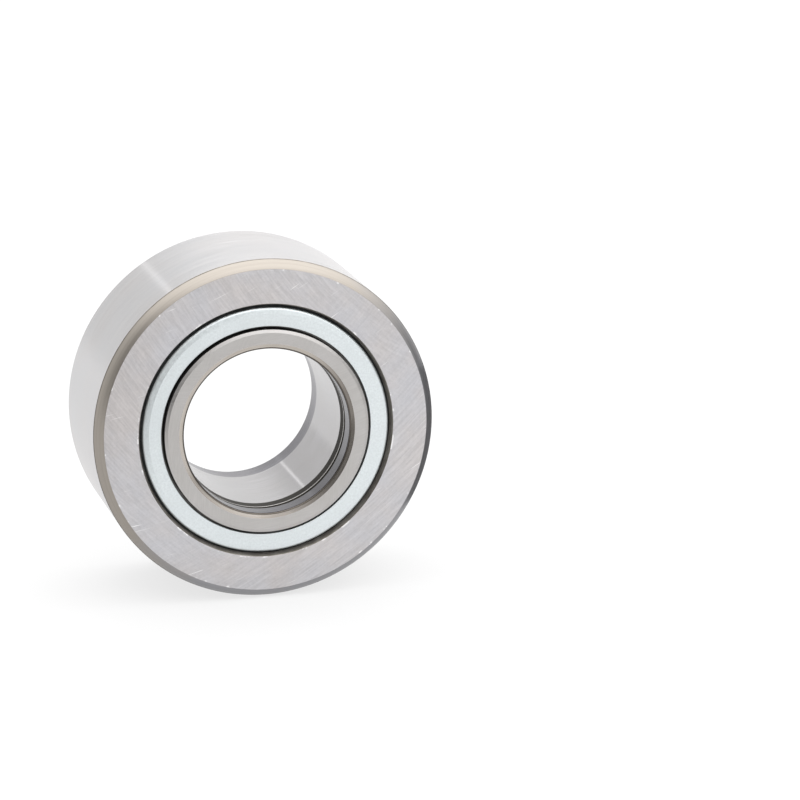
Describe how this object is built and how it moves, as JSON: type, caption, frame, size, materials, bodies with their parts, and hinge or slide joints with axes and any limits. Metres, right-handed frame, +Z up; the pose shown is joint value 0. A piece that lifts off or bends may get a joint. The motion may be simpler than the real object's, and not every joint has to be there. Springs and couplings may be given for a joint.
{
  "type": "yoke-type track roller",
  "caption": "Yoke-type track roller: thick chamfered outer ring turning on full rows of cylindrical rollers around a bored inner ring, with plated shields pressed in at its ends.",
  "frame": {"origin": "centre of the bore at the middle of the width, which is also the centre of the whole roller", "axes": "+Y along the bore axis from the front face to the rear face, +Z up as the roller stands on its tread, +X to the right seen from the front"},
  "size_m": [0.062, 0.029, 0.062],
  "materials": {
    "ground_steel": "hardened bearing steel, ground tread and faces with fine grinding marks, duller turned chamfers",
    "honed_steel": "hardened bearing steel, honed smooth bore and raceway",
    "brushed_steel": "hardened steel, turned and lightly brushed, satin",
    "zinc_plate": "pressed sheet steel, pale blue-white zinc plate, matt with a fine speckle",
    "roller_steel": "hardened bearing steel, ground and polished, with a film of oil"
  },
  "bodies": {
    "inner_race": {"inner_ring": "honed_steel", "flange_ring_front": "brushed_steel", "flange_ring_rear": "brushed_steel"},
    "outer_race": {"outer_ring": "ground_steel", "shield_front": "zinc_plate", "shield_rear": "zinc_plate"},
    "roller_row_front": {"roller_front_01": "roller_steel", "roller_front_02": "roller_steel", "roller_front_03": "roller_steel", "roller_front_04": "roller_steel", "roller_front_05": "roller_steel", "roller_front_06": "roller_steel", "roller_front_07": "roller_steel", "roller_front_08": "roller_steel", "roller_front_09": "roller_steel", "roller_front_10": "roller_steel", "roller_front_11": "roller_steel", "roller_front_12": "roller_steel", "roller_front_13": "roller_steel", "roller_front_14": "roller_steel", "roller_front_15": "roller_steel", "roller_front_16": "roller_steel", "roller_front_17": "roller_steel", "roller_front_18": "roller_steel", "roller_front_19": "roller_steel", "roller_front_20": "roller_steel"},
    "roller_row_rear": {"roller_rear_01": "roller_steel", "roller_rear_02": "roller_steel", "roller_rear_03": "roller_steel", "roller_rear_04": "roller_steel", "roller_rear_05": "roller_steel", "roller_rear_06": "roller_steel", "roller_rear_07": "roller_steel", "roller_rear_08": "roller_steel", "roller_rear_09": "roller_steel", "roller_rear_10": "roller_steel", "roller_rear_11": "roller_steel", "roller_rear_12": "roller_steel", "roller_rear_13": "roller_steel", "roller_rear_14": "roller_steel", "roller_rear_15": "roller_steel", "roller_rear_16": "roller_steel", "roller_rear_17": "roller_steel", "roller_rear_18": "roller_steel", "roller_rear_19": "roller_steel", "roller_rear_20": "roller_steel"}
  },
  "joints": [
    {"name": "outer_ring_spin", "type": "hinge", "parent": "inner_race", "child": "outer_race", "pos_m": [0, 0, 0], "axis": [0, 1, 0], "continuous": true},
    {"name": "roller_row_front_orbit", "type": "hinge", "parent": "inner_race", "child": "roller_row_front", "pos_m": [0, 0, 0], "axis": [0, 1, 0], "continuous": true},
    {"name": "roller_row_rear_orbit", "type": "hinge", "parent": "inner_race", "child": "roller_row_rear", "pos_m": [0, 0, 0], "axis": [0, 1, 0], "continuous": true}
  ],
  "couplings": [
    {"joint": "roller_row_front_orbit", "follows": "outer_ring_spin", "ratio": 0.57647},
    {"joint": "roller_row_rear_orbit", "follows": "outer_ring_spin", "ratio": 0.57647}
  ]
}
